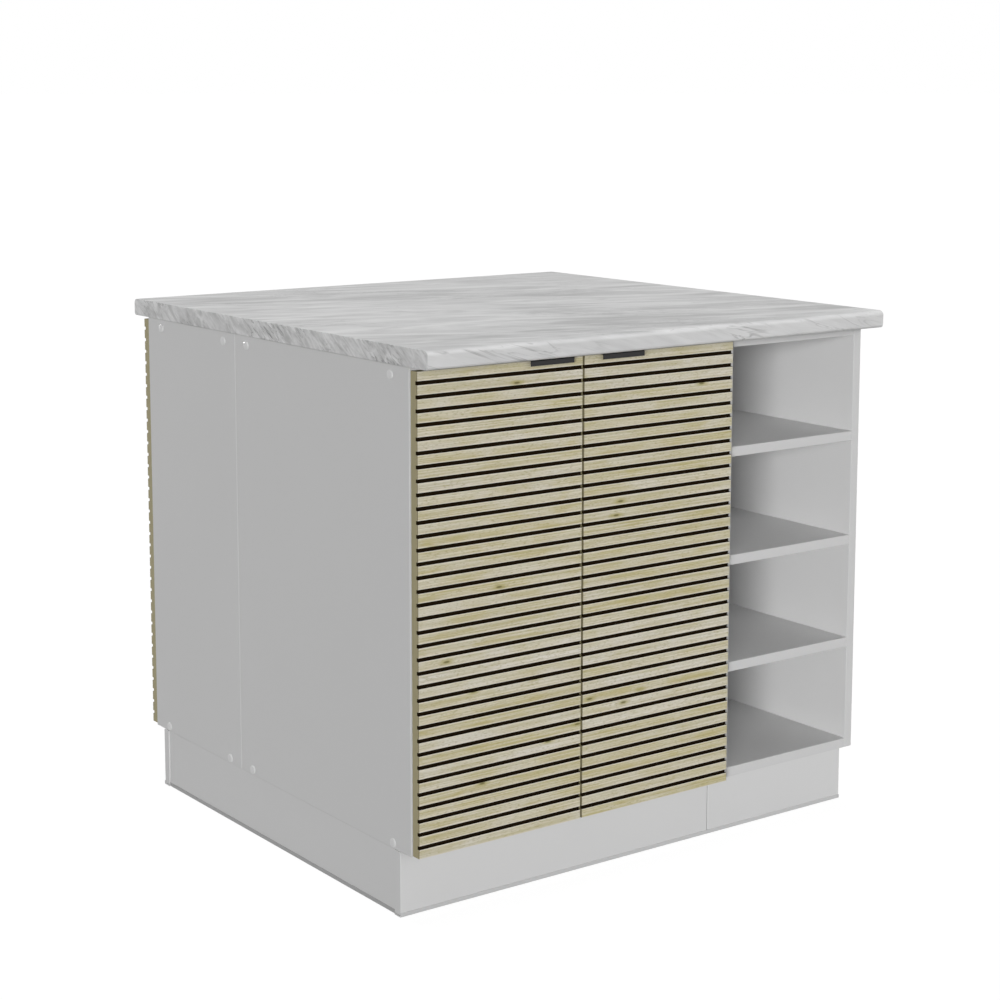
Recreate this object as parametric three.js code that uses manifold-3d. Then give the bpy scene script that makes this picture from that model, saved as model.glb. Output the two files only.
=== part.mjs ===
// Kitchen island: two rows of floor units back to back under one worktop.
// The front row has a cupboard with two slatted doors and a narrow open unit
// with shelves; the rear row is one wide, shallow cupboard with two doors.
//
// Millimetres, +Z up. The origin is on the floor under the island's middle.
// -Y is the front (towards the open unit's shelves), left and right are as
// seen from the front, so left is -X.

import * as THREE from 'three';
import { mergeVertices } from 'three/addons/utils/BufferGeometryUtils.js';
import Module from 'manifold-3d';

const wasm = await Module();
wasm.setup();

// ---------------------------------------------------------------- dimensions

const CUPBOARD_WIDTH = 600;     // the front row's cupboard
const OPEN_UNIT_WIDTH = 300;    // the front row's open unit
const FRONT_DEPTH = 500;        // carcass depth of the front row
const REAR_DEPTH = 300;         // carcass depth of the rear row
const CARCASS_HEIGHT = 720;
const PLINTH_HEIGHT = 100;
const PANEL = 16;               // thickness of the coated boards
const BACK_PANEL = 3;           // thickness of the hardboard backs

const WORKTOP_THICKNESS = 28;
const WORKTOP_OVERHANG = 30;    // beyond the door faces, front and rear
const WORKTOP_END_REACH = 1.5;  // beyond the side panels, for the end bands
const WORKTOP_TOP_RADIUS = 8;
const WORKTOP_BOTTOM_RADIUS = 5;

const DOOR_THICKNESS = 16;
const DOOR_GAP = 2;             // between a door's back and the carcass
const DOOR_REVEAL = 1.5;        // each door's share of the gap beside it
const DOOR_LIFT = 2.5;          // door bottom above the carcass bottom
const DOOR_DROP = 4.5;          // door top below the carcass top
const GROOVE_PITCH = 20;
const GROOVE_HEIGHT = 5.2;
const GROOVE_DEPTH = 4;

const HANDLE_LENGTH = 80;
const HANDLE_SHEET = 1.2;
const HANDLE_REACH = 9;         // how far the lip stands in front of the door
const HANDLE_LIP = 7;           // how far the lip hangs below the door's top
const HANDLE_TAIL = 24;         // the screwed leg behind the door
const HANDLE_OFFSET_LEFT = 63;  // handle centre to the left door's free edge
const HANDLE_OFFSET_RIGHT = 69; // handle centre to the right door's free edge

const CUP_RADIUS = 17.5;
const CUP_EDGE = 22.5;          // cup centre to the door's hinge edge
const WING_RADIUS = 6.5;        // rounded ends of the cup's wing plate
const WING_REACH = 22;          // from the cup's centre to its screw holes
const WING_HOLE_RADIUS = 2.1;
const HINGE_INSET = 100;        // hinge centre to the carcass's end

const PLINTH_SETBACK = 28;      // plinth face behind the carcass front
const PLINTH_THICKNESS = 16;
const PLINTH_END_REACH = 1.5;   // the long boards' ends beyond the side panels
const SEAL_HEIGHT = 6;
const SEAL_LIP = 1;

const LEG_INSET_SIDE = 50;
const LEG_INSET_FRONT = 80;
const LEG_FOOT_RADIUS = 28;
const LEG_FLANGE_RADIUS = 30;
const LEG_SHAFT_RADIUS = 15;

const SHELF_SETBACK = 20;       // cupboard shelves behind the carcass front

const SEAT = 0.3;               // air between pieces that rest on each other

// ------------------------------------------------------------ derived planes

const width = CUPBOARD_WIDTH + OPEN_UNIT_WIDTH;
const doorStack = DOOR_THICKNESS + DOOR_GAP;
const depthOverDoors = FRONT_DEPTH + REAR_DEPTH + 2 * doorStack;
const xLeft = -width / 2;
const xRight = width / 2;
const xJoint = xLeft + CUPBOARD_WIDTH;                // cupboard to open unit
const yDoorFront = -depthOverDoors / 2;
const yFront = yDoorFront + doorStack;                // front row's front plane
const ySeam = yFront + FRONT_DEPTH;                   // between the two rows
const yRear = ySeam + REAR_DEPTH;                     // rear row's front plane
const zBottom = PLINTH_HEIGHT;
const zTop = PLINTH_HEIGHT + CARCASS_HEIGHT;
const zMiddle = (zBottom + zTop - PANEL) / 2;         // a middle shelf's underside

// ----------------------------------------------------------------- materials

const board = new THREE.MeshStandardMaterial({ color: '#f1f1f1', roughness: 0.55 });
const hardboard = new THREE.MeshStandardMaterial({ color: '#e6e6e4', roughness: 0.7 });
const slatted = new THREE.MeshStandardMaterial({ color: '#cfc6a6', roughness: 0.6 });
const marble = new THREE.MeshStandardMaterial({ color: '#d3d3d1', roughness: 0.35 });
const blackMetal = new THREE.MeshStandardMaterial({ color: '#1d1d1f', roughness: 0.45, metalness: 0.4 });
const steel = new THREE.MeshStandardMaterial({ color: '#b9bcc0', roughness: 0.3, metalness: 0.9 });
const blackPlastic = new THREE.MeshStandardMaterial({ color: '#242526', roughness: 0.6 });
const plinthBoard = new THREE.MeshStandardMaterial({ color: '#e9e9e9', roughness: 0.5 });

// ------------------------------------------------------------- shape helpers

const island = new THREE.Group();

function add(name, geometry, material, parent = island) {
  const mesh = new THREE.Mesh(geometry, material);
  mesh.name = name;
  parent.add(mesh);
  return mesh;
}

// A rectangular board between two opposite corners.
function slab(name, material, [x0, y0, z0], [x1, y1, z1], parent = island) {
  const mesh = add(name, new THREE.BoxGeometry(x1 - x0, y1 - y0, z1 - z0), material, parent);
  mesh.position.set((x0 + x1) / 2, (y0 + y1) / 2, (z0 + z1) / 2);
  return mesh;
}

// A section drawn in Y and Z, drawn out along X from x0 to x1.
function drawnAlongX(points, x0, x1) {
  const geometry = new THREE.ExtrudeGeometry(new THREE.Shape(points), { depth: x1 - x0, bevelEnabled: false, curveSegments: 8 });
  const turn = new THREE.Matrix4().set(
    0, 0, 1, x0,
    1, 0, 0, 0,
    0, 1, 0, 0,
    0, 0, 0, 1);
  return geometry.applyMatrix4(turn);
}

// A section drawn in X and Y, drawn up along Z from z0 to z1.
function drawnAlongZ(points, z0, z1) {
  const geometry = new THREE.ExtrudeGeometry(new THREE.Shape(points), { depth: z1 - z0, bevelEnabled: false });
  return geometry.translate(0, 0, z0);
}

// A quarter round as points: from angle a0, over `steps` steps, about (cx, cy).
function quarter(cx, cy, radius, a0, steps = 8) {
  const points = [];
  for (let i = 0; i <= steps; i++) {
    const a = a0 + (Math.PI / 2) * (i / steps);
    points.push(new THREE.Vector2(cx + radius * Math.cos(a), cy + radius * Math.sin(a)));
  }
  return points;
}

function toSolid(geometry) {
  const bare = geometry.clone();
  bare.deleteAttribute('normal');
  bare.deleteAttribute('uv');
  const merged = mergeVertices(bare, 1e-4);
  return new wasm.Manifold(new wasm.Mesh({
    numProp: 3,
    vertProperties: new Float32Array(merged.attributes.position.array),
    triVerts: new Uint32Array(merged.index.array),
  }));
}

function toGeometry(solid) {
  const mesh = solid.getMesh();
  const geometry = new THREE.BufferGeometry();
  geometry.setAttribute('position', new THREE.BufferAttribute(new Float32Array(mesh.vertProperties), 3));
  geometry.setIndex(new THREE.BufferAttribute(new Uint32Array(mesh.triVerts), 1));
  geometry.computeVertexNormals();
  return geometry;
}

// ------------------------------------------------------------------- worktop

// Board with rounded long edges at the front and the rear and square ends.
{
  const y0 = yDoorFront - WORKTOP_OVERHANG;
  const y1 = -yDoorFront + WORKTOP_OVERHANG;
  const z0 = zTop;
  const z1 = zTop + WORKTOP_THICKNESS;
  const rt = WORKTOP_TOP_RADIUS;
  const rb = WORKTOP_BOTTOM_RADIUS;
  add('worktop', drawnAlongX([
    ...quarter(y1 - rb, z0 + rb, rb, -Math.PI / 2, 5),
    ...quarter(y1 - rt, z1 - rt, rt, 0),
    ...quarter(y0 + rt, z1 - rt, rt, Math.PI / 2),
    ...quarter(y0 + rb, z0 + rb, rb, Math.PI, 5),
  ], xLeft - WORKTOP_END_REACH, xRight + WORKTOP_END_REACH), marble);
}

// ------------------------------------------------------- front row: cupboard

const cabinetTop = zTop - SEAT;           // the worktop rests on the carcasses
const yFrontBack = ySeam - SEAT;          // the rows stand back to back
const yFrontInside = yFrontBack - BACK_PANEL - SEAT;
{
  const x0 = xLeft;
  const x1 = xJoint - SEAT;
  const in0 = x0 + PANEL + SEAT;
  const in1 = x1 - PANEL - SEAT;
  const railDepth = 100;
  slab('cupboard_left_side', board, [x0, yFront, zBottom], [x0 + PANEL, yFrontBack, cabinetTop]);
  slab('cupboard_right_side', board, [x1 - PANEL, yFront, zBottom], [x1, yFrontBack, cabinetTop]);
  slab('cupboard_bottom', board, [in0, yFront, zBottom], [in1, yFrontInside, zBottom + PANEL]);
  slab('cupboard_front_rail', board, [in0, yFront, cabinetTop - PANEL], [in1, yFront + railDepth, cabinetTop]);
  slab('cupboard_rear_rail', board, [in0, yFrontInside - railDepth, cabinetTop - PANEL], [in1, yFrontInside, cabinetTop]);
  slab('cupboard_back', hardboard, [in0, yFrontBack - BACK_PANEL, zBottom], [in1, yFrontBack, cabinetTop]);
  slab('cupboard_shelf', board, [in0, yFront + SHELF_SETBACK, zMiddle], [in1, yFrontInside, zMiddle + PANEL]);
}

// ------------------------------------------------------ front row: open unit

{
  const x0 = xJoint;
  const x1 = xRight;
  const in0 = x0 + PANEL + SEAT;
  const in1 = x1 - PANEL - SEAT;
  slab('open_unit_left_side', board, [x0, yFront, zBottom], [x0 + PANEL, yFrontBack, cabinetTop]);
  slab('open_unit_right_side', board, [x1 - PANEL, yFront, zBottom], [x1, yFrontBack, cabinetTop]);
  slab('open_unit_back', hardboard, [in0, yFrontBack - BACK_PANEL, zBottom], [in1, yFrontBack, cabinetTop]);
  // Bottom, three fixed shelves and top, with four equal openings between.
  const names = ['open_unit_bottom', 'open_unit_lower_shelf', 'open_unit_middle_shelf', 'open_unit_upper_shelf', 'open_unit_top'];
  const step = (cabinetTop - PANEL - zBottom) / (names.length - 1);
  names.forEach((name, i) => {
    const z = zBottom + i * step;
    slab(name, board, [in0, yFront, z], [in1, yFrontInside, z + PANEL]);
  });
}

// ------------------------------------------------------------------ rear row

{
  const y0 = ySeam;
  const y1 = yRear;
  const inY = y0 + BACK_PANEL + SEAT;
  const in0 = xLeft + PANEL + SEAT;
  const in1 = xRight - PANEL - SEAT;
  slab('rear_unit_left_side', board, [xLeft, y0, zBottom], [xLeft + PANEL, y1, cabinetTop]);
  slab('rear_unit_right_side', board, [xRight - PANEL, y0, zBottom], [xRight, y1, cabinetTop]);
  slab('rear_unit_back', hardboard, [in0, y0, zBottom], [in1, y0 + BACK_PANEL, cabinetTop]);
  slab('rear_unit_bottom', board, [in0, inY, zBottom], [in1, y1, zBottom + PANEL]);
  slab('rear_unit_top', board, [in0, inY, cabinetTop - PANEL], [in1, y1, cabinetTop]);
  slab('rear_unit_shelf', board, [in0, inY, zMiddle], [in1, y1 - SHELF_SETBACK, zMiddle + PANEL]);
}

// -------------------------------------------------------------------- plinth

// Boards clipped to the legs. Their section has a soft seal along the floor
// that stands a little proud of the board's face.
const plinthTop = zBottom - SEAT;
{
  const t = PLINTH_THICKNESS;
  // The section has the board's face at `face`; `out` points out of the island.
  const section = (face, out) => [
    new THREE.Vector2(face - out * t, 0),
    new THREE.Vector2(face + out * SEAL_LIP, 0),
    new THREE.Vector2(face + out * SEAL_LIP, SEAL_HEIGHT - 1),
    new THREE.Vector2(face, SEAL_HEIGHT),
    new THREE.Vector2(face, plinthTop),
    new THREE.Vector2(face - out * t, plinthTop),
  ];
  const faceFront = yFront + PLINTH_SETBACK;
  const faceRear = yRear - PLINTH_SETBACK;
  add('plinth_front_wide', drawnAlongX(section(faceFront, -1), xLeft - PLINTH_END_REACH, xJoint - SEAT), plinthBoard);
  add('plinth_front_narrow', drawnAlongX(section(faceFront, -1), xJoint, xRight + PLINTH_END_REACH), plinthBoard);
  add('plinth_rear', drawnAlongX(section(faceRear, 1), xLeft - PLINTH_END_REACH, xRight + PLINTH_END_REACH), plinthBoard);
  // The end boards run between the long ones, under the side panels. They are
  // drawn along X as well and turned a quarter about Z.
  const length = faceRear - faceFront - 2 * (t + SEAT);
  const middle = (faceFront + faceRear) / 2;
  for (const [name, out, x] of [['plinth_left', 1, xLeft], ['plinth_right', -1, xRight]]) {
    const mesh = add(name, drawnAlongX(section(-SEAL_LIP * out, out), -length / 2, length / 2), plinthBoard);
    mesh.rotation.z = Math.PI / 2;
    mesh.position.set(x, middle, 0);
  }
}

// ---------------------------------------------------------------------- legs

// Adjustable plastic legs: a foot on a threaded shaft in a flanged socket.
{
  const h = zBottom - SEAT;
  const profile = [
    [0, 0], [LEG_FOOT_RADIUS, 0], [LEG_FOOT_RADIUS, 5], [LEG_SHAFT_RADIUS, 12],
    [LEG_SHAFT_RADIUS, h * 0.45], [LEG_SHAFT_RADIUS + 4, h * 0.45],
    [LEG_SHAFT_RADIUS + 4, h * 0.82], [LEG_FLANGE_RADIUS, h - 5],
    [LEG_FLANGE_RADIUS, h], [0, h],
  ].map(([r, y]) => new THREE.Vector2(r, y));
  const leg = new THREE.LatheGeometry(profile, 22);
  const legX0 = xLeft + LEG_INSET_SIDE;
  const legX1 = xRight - LEG_INSET_SIDE;
  const places = {
    leg_front_left: [legX0, yFront + LEG_INSET_FRONT],
    leg_front_middle: [xJoint, yFront + LEG_INSET_FRONT],
    leg_front_right: [legX1, yFront + LEG_INSET_FRONT],
    leg_seam_left: [legX0, ySeam],
    leg_seam_middle: [xJoint, ySeam],
    leg_seam_right: [legX1, ySeam],
    leg_rear_left: [legX0, yRear - LEG_INSET_FRONT],
    leg_rear_middle: [0, yRear - LEG_INSET_FRONT],
    leg_rear_right: [legX1, yRear - LEG_INSET_FRONT],
  };
  for (const [name, [x, y]] of Object.entries(places)) {
    const mesh = add(name, leg, blackPlastic);
    mesh.rotation.x = Math.PI / 2;
    mesh.position.set(x, y, 0);
  }
}

// --------------------------------------------------------------------- doors

const zDoor0 = zBottom + DOOR_LIFT;
const zDoor1 = zTop - DOOR_DROP;
const doorHeight = zDoor1 - zDoor0;
const hingeHeights = { lower: zBottom + HINGE_INSET, upper: zTop - HINGE_INSET };
const boreDepth = DOOR_THICKNESS - GROOVE_DEPTH - 1.3;

// Section of a slatted board, drawn in Y and Z with its face at -Y: a comb of
// evenly spaced grooves that run the board's whole width.
function slatSection(height) {
  const count = Math.floor(height / GROOVE_PITCH);
  const margin = (height - (count - 1) * GROOVE_PITCH) / 2;
  const points = [new THREE.Vector2(DOOR_THICKNESS, 0), new THREE.Vector2(DOOR_THICKNESS, height), new THREE.Vector2(0, height)];
  for (let i = count - 1; i >= 0; i--) {
    const z = margin + i * GROOVE_PITCH;
    points.push(new THREE.Vector2(0, z + GROOVE_HEIGHT / 2));
    points.push(new THREE.Vector2(GROOVE_DEPTH, z + GROOVE_HEIGHT / 2));
    points.push(new THREE.Vector2(GROOVE_DEPTH, z - GROOVE_HEIGHT / 2));
    points.push(new THREE.Vector2(0, z - GROOVE_HEIGHT / 2));
  }
  points.push(new THREE.Vector2(0, 0));
  return points;
}

// One door with its handle and two hinge cups, in a group of its own. In the
// group x runs from the hinge edge (0) in the direction `side` to the free
// edge, y from the face (0) to the back, and z from the door's bottom.
function addDoor(name, doorWidth, side, handleOffset, parent) {
  const span = (a, b) => (side > 0 ? [a, b] : [-b, -a]);
  const [x0, x1] = span(0, doorWidth);
  let solid = toSolid(drawnAlongX(slatSection(doorHeight), x0, x1));
  const cups = [];
  for (const [level, z] of Object.entries(hingeHeights)) {
    const bore = new THREE.CylinderGeometry(CUP_RADIUS, CUP_RADIUS, boreDepth + 2, 32);
    bore.translate(side * CUP_EDGE, DOOR_THICKNESS - boreDepth + (boreDepth + 2) / 2, z - zDoor0);
    solid = solid.subtract(toSolid(bore));
    cups.push([level, z - zDoor0]);
  }
  add(`${name}_door`, toGeometry(solid), slatted, parent);

  // Hinge cup: a steel pot in the bore with a wing plate against the door's
  // back, open towards the carcass.
  for (const [level, z] of cups) {
    const y0 = DOOR_THICKNESS - boreDepth + SEAT;
    const y1 = DOOR_THICKNESS + SEAT;
    const y2 = DOOR_THICKNESS + SEAT + 1;
    const r = CUP_RADIUS - SEAT;
    const pot = new THREE.LatheGeometry([
      [0, y0], [r, y0], [r, y1], [r + 1.5, y1], [r + 1.5, y2], [r - 1.7, y2], [r - 1.7, y0 + 1.2], [0, y0 + 1.2],
    ].map(([a, b]) => new THREE.Vector2(a, b)), 32);
    pot.translate(side * CUP_EDGE, 0, z);
    const round = (radius, height, dz, segments) => {
      const disc = new THREE.CylinderGeometry(radius, radius, height, segments);
      return toSolid(disc.translate(side * CUP_EDGE, (y1 + y2) / 2, z + dz));
    };
    const strip = new THREE.BoxGeometry(2 * WING_RADIUS, y2 - y1, 2 * WING_REACH);
    let wings = toSolid(strip.translate(side * CUP_EDGE, (y1 + y2) / 2, z));
    for (const end of [-1, 1]) wings = wings.add(round(WING_RADIUS, y2 - y1, end * WING_REACH, 20));
    for (const end of [-1, 1]) wings = wings.subtract(round(WING_HOLE_RADIUS, 4, end * WING_REACH, 12));
    const cup = toSolid(pot).add(wings.subtract(round(r - 1.7, 4, 0, 32)));
    add(`${name}_hinge_cup_${level}`, toGeometry(cup), steel, parent);
  }

  // Handle: a bent strip hooked over the door's top, with a lip in front to
  // pull by and a leg behind that is screwed to the door.
  const t = HANDLE_SHEET;
  const zTopEdge = doorHeight + SEAT;
  const tail = DOOR_THICKNESS + SEAT;
  const hook = [
    [tail, doorHeight - HANDLE_TAIL], [tail + t, doorHeight - HANDLE_TAIL],
    [tail + t, zTopEdge + t], [-HANDLE_REACH, zTopEdge + t],
    [-HANDLE_REACH, doorHeight - HANDLE_LIP], [-HANDLE_REACH + t, doorHeight - HANDLE_LIP],
    [-HANDLE_REACH + t, zTopEdge], [tail, zTopEdge],
  ].map(([a, b]) => new THREE.Vector2(a, b));
  const middle = doorWidth - handleOffset;
  const [h0, h1] = span(middle - HANDLE_LENGTH / 2, middle + HANDLE_LENGTH / 2);
  add(`${name}_handle`, drawnAlongX(hook, h0, h1), blackMetal, parent);
}

// Hinge arm with its mounting plate, screwed to the inner face of a side panel
// at x = face. `inward` points to the cupboard's inside along X and `back`
// from the carcass front plane at y = front into the cupboard along Y.
function addHingeArm(name, face, inward, front, back, z) {
  const at = ([u, v]) => new THREE.Vector2(face + inward * u, front + back * v);
  const along = (points, half) => toSolid(drawnAlongZ(points.map(at), z - half, z + half));
  // Pressed channel, cranked at the front, hollow underneath and at the rear
  // end, with a long slot for the clamping screw.
  let arm = along([[3, 68], [15, 68], [15, 14], [13, 6], [3, 6]], 5.6);
  arm = arm.subtract(along([[2, 70], [13.8, 70], [13.8, 16], [2, 16]], 4.4));
  arm = arm.subtract(along([[12, 56], [17, 56], [17, 44], [12, 44]], 2.4));
  // Pair of links, taken as one piece, that reach into the cup's mouth.
  arm = arm.add(along([[8, 10], [14, 10], [17, 0], [17, -6.5], [8, -6.5], [7, 2]], 3.8));
  // Butterfly mounting plate with its two screw holes.
  const wing = [[20, 6], [27, 6], [31, 15], [31, 21], [33, 23], [43, 23], [45, 21], [45, 15], [49, 6], [64, 6]];
  const outline = [...wing, ...wing.map(([v, h]) => [v, -h]).reverse()];
  const x0 = Math.min(inward * SEAT, inward * 3.6);
  const plate = toSolid(drawnAlongX(
    outline.map(([v, h]) => new THREE.Vector2(front + back * v, z + h)), face + x0, face + x0 + 3.6 - SEAT));
  const drill = (h) => {
    const hole = new THREE.CylinderGeometry(2.6, 2.6, 12, 12);
    return toSolid(hole.rotateZ(Math.PI / 2).translate(face + inward * 2, front + back * 38, z + h));
  };
  add(name, toGeometry(arm.add(plate.subtract(drill(17)).subtract(drill(-17)))), steel);
}

{
  const frontDoor = CUPBOARD_WIDTH / 2 - 2 * DOOR_REVEAL;
  const rearDoor = width / 2 - 2 * DOOR_REVEAL;

  const frontLeft = new THREE.Group();
  frontLeft.position.set(xLeft + DOOR_REVEAL, yDoorFront, zDoor0);
  addDoor('front_left', frontDoor, 1, HANDLE_OFFSET_LEFT, frontLeft);

  const frontRight = new THREE.Group();
  frontRight.position.set(xJoint - DOOR_REVEAL, yDoorFront, zDoor0);
  addDoor('front_right', frontDoor, -1, HANDLE_OFFSET_RIGHT, frontRight);

  // The rear doors are the same boards turned half a turn about Z.
  const rearLeft = new THREE.Group();
  rearLeft.position.set(xLeft + DOOR_REVEAL, -yDoorFront, zDoor0);
  rearLeft.rotation.z = Math.PI;
  addDoor('rear_left', rearDoor, -1, HANDLE_OFFSET_RIGHT, rearLeft);

  const rearRight = new THREE.Group();
  rearRight.position.set(xRight - DOOR_REVEAL, -yDoorFront, zDoor0);
  rearRight.rotation.z = Math.PI;
  addDoor('rear_right', rearDoor, 1, HANDLE_OFFSET_LEFT, rearRight);

  island.add(frontLeft, frontRight, rearLeft, rearRight);

  for (const [level, z] of Object.entries(hingeHeights)) {
    addHingeArm(`front_left_hinge_arm_${level}`, xLeft + PANEL, 1, yFront, 1, z);
    addHingeArm(`front_right_hinge_arm_${level}`, xJoint - SEAT - PANEL, -1, yFront, 1, z);
    addHingeArm(`rear_left_hinge_arm_${level}`, xLeft + PANEL, 1, yRear, -1, z);
    addHingeArm(`rear_right_hinge_arm_${level}`, xRight - PANEL, -1, yRear, -1, z);
  }
}

export default island;
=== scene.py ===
"""Kitchen island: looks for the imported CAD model.

Metres, +Z up, -Y is the front. Left and right are as seen from the front.
Sections follow the island as it is put together.
"""

import math

import bmesh
import bpy
from mathutils import Euler, Matrix, Vector


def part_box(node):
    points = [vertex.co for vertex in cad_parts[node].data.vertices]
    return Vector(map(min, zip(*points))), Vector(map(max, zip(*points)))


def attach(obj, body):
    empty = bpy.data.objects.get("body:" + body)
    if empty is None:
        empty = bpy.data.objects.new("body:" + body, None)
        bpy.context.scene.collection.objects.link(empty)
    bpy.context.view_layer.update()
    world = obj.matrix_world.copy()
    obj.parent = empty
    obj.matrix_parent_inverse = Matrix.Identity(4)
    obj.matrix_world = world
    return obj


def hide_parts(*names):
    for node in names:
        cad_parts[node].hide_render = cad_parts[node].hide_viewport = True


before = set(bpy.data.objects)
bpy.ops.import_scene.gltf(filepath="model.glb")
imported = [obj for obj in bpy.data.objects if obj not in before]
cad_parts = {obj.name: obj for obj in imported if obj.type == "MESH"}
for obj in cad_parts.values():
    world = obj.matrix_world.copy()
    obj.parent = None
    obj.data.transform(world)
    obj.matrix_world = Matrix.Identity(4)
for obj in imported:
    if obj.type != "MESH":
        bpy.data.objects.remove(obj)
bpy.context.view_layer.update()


# ---------------------------------------------------------------- carcasses
# Sides, bottoms, tops, rails and shelves are 16 mm chipboard coated with white
# melamine. Every board is sawn to size and its long edges are banded with
# 2 mm ABS, which rounds them a little and catches the light.

MM = 0.001
ABS_BAND = 2 * MM
ARRIS = 1 * MM
CLOUD = 200 * MM
# The pearl is far finer on a real board, and is drawn this coarse to show.
PEARL = 2.38 * MM


def linear(hex_colour):
    """An sRGB hex colour as linear RGBA."""
    parts = [int(hex_colour[i : i + 2], 16) / 255 for i in (1, 3, 5)]
    return [c / 12.92 if c <= 0.04045 else ((c + 0.055) / 1.055) ** 2.4 for c in parts] + [1.0]


def add_node(material, kind, inputs=None, **settings):
    """Adds a node to a material, with its settings, values and links."""
    node = material.node_tree.nodes.new(kind)
    for name, value in settings.items():
        setattr(node, name, value)
    for socket, value in (inputs or {}).items():
        if isinstance(value, bpy.types.NodeSocket):
            material.node_tree.links.new(value, node.inputs[socket])
        else:
            node.inputs[socket].default_value = value
    return node


def new_finish(name):
    """A material whose nodes are still to be added."""
    material = bpy.data.materials.new(name)
    material.use_nodes = True
    material.node_tree.nodes.clear()
    return material


def end_finish(material, shader):
    """Joins the last shader to the surface."""
    add_node(material, "ShaderNodeOutputMaterial", {"Surface": shader})
    return material


def noise(finish, size, detail, roughness=0.5, distortion=0.0, lean=(0, 0, 0), place=None):
    """A noise pattern on the piece, or on another place where one is given. Its
    size is that of a fleck on X, Y and Z, and its lean is in degrees."""
    if place is None:
        place = add_node(finish, "ShaderNodeTexCoord").outputs["Object"]
    fleck = add_node(
        finish, "ShaderNodeMapping",
        {"Vector": place, "Rotation": [math.radians(a) for a in lean], "Scale": size},
        vector_type="TEXTURE",
    )
    pattern = add_node(
        finish, "ShaderNodeTexNoise",
        {
            "Vector": fleck.outputs["Vector"], "Scale": 1.0, "Detail": detail,
            "Roughness": roughness, "Distortion": distortion,
        },
    )
    return pattern.outputs["Fac"]


def blend(finish, share, colour, other):
    """One colour turning into another as the share goes from 0 to 1."""
    mix = add_node(finish, "ShaderNodeMix", {0: share, 6: colour, 7: other}, data_type="RGBA")
    return mix.outputs[2]


def emboss(finish, pattern, strength, depth):
    """A slight relief from a pattern."""
    bump = add_node(
        finish, "ShaderNodeBump", {"Height": pattern, "Strength": strength, "Distance": depth}
    )
    return bump.outputs["Normal"]


def coat(finish, surface):
    """Ends a material with its surface."""
    shader = add_node(finish, "ShaderNodeBsdfPrincipled", surface)
    return end_finish(finish, shader.outputs["BSDF"])


def coat_melamine(name, colour, shade, roughness):
    """Melamine film pressed on chipboard: an even, matt white with the faint
    pearl of the press plate and a very slight cloudiness over a whole board."""
    finish = new_finish(name)
    cloud = noise(finish, [CLOUD] * 3, 3.0)
    white = blend(finish, cloud, linear(colour), linear(shade))
    pearl = noise(finish, [PEARL] * 3, 2.0)
    dull = add_node(
        finish, "ShaderNodeMapRange",
        {"Value": pearl, "To Min": roughness - 0.05, "To Max": roughness + 0.07},
    )
    relief = emboss(finish, pearl, 0.06, 0.2 * MM)
    return coat(
        finish,
        {
            "Base Color": white, "Roughness": dull.outputs["Result"],
            "Normal": relief, "IOR": 1.48, "Specular IOR Level": 0.12,
        },
    )


# Copies of the one white coating: the sides' outer faces take a greyer copy, as painted shade,
# and the boards that lie flat take a whiter copy, as painted light.
melamine = coat_melamine("melamine_white_outside_painted_shade", "#C8C8C8", "#CACACA", 0.64)
inside_melamine = coat_melamine("melamine_white_inside", "#D9D9D9", "#DBDBDB", 0.6)
shelf_melamine_painted_light = coat_melamine("melamine_white_shelf_painted_light", "#E2E2E2", "#E4E4E4", 0.6)
abs_band = coat_melamine("abs_edge_band_white", "#D0D0D0", "#D2D2D2", 0.5)


def saw_blank(name, low, high):
    """A board's blank: a block between two corners, its place in its mesh."""
    bpy.ops.object.select_all(action="DESELECT")
    centre = (Vector(low) + Vector(high)) / 2
    bpy.ops.mesh.primitive_cube_add(size=1, location=centre)
    blank = bpy.context.active_object
    blank.name = name
    blank.data.name = name
    blank.scale = Vector(high) - Vector(low)
    bpy.ops.object.transform_apply(location=True, rotation=True, scale=True)
    return blank


def cut_lines(piece, cuts):
    """Scores a piece right round at each (axis, place), as a band's joint is."""
    bpy.context.view_layer.objects.active = piece
    bpy.ops.object.mode_set(mode="EDIT")
    for axis, place in cuts:
        point, normal = [0.0, 0.0, 0.0], [0.0, 0.0, 0.0]
        point[axis], normal[axis] = place, 1.0
        bpy.ops.mesh.select_all(action="SELECT")
        bpy.ops.mesh.bisect(plane_co=point, plane_no=normal)
    bpy.ops.object.mode_set(mode="OBJECT")


def round_arrises(piece, width, segments=2, angle=40):
    """Takes the sharpness off every edge that is steeper than the angle."""
    bpy.context.view_layer.objects.active = piece
    bevel = piece.modifiers.new("arris", "BEVEL")
    bevel.width = width
    bevel.segments = segments
    bevel.limit_method = "ANGLE"
    bevel.angle_limit = math.radians(angle)
    bevel.harden_normals = False
    bpy.ops.object.modifier_apply(modifier=bevel.name)


def smooth_curves(piece, angle=35):
    """Shades rounded edges smoothly, while the flat faces between them stay
    flat right up to the edge."""
    bpy.ops.object.select_all(action="DESELECT")
    piece.select_set(True)
    bpy.context.view_layer.objects.active = piece
    bpy.ops.object.shade_smooth_by_angle(angle=math.radians(angle))
    flats = piece.modifiers.new("flats", "WEIGHTED_NORMAL")
    flats.keep_sharp = True
    bpy.ops.object.modifier_apply(modifier=flats.name)


def fit_to_island(piece, body, nodes=()):
    """Fixes a finished piece to its CAD body, in place of CAD nodes if any."""
    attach(piece, body)
    if nodes:
        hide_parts(*nodes)
    return piece


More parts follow.
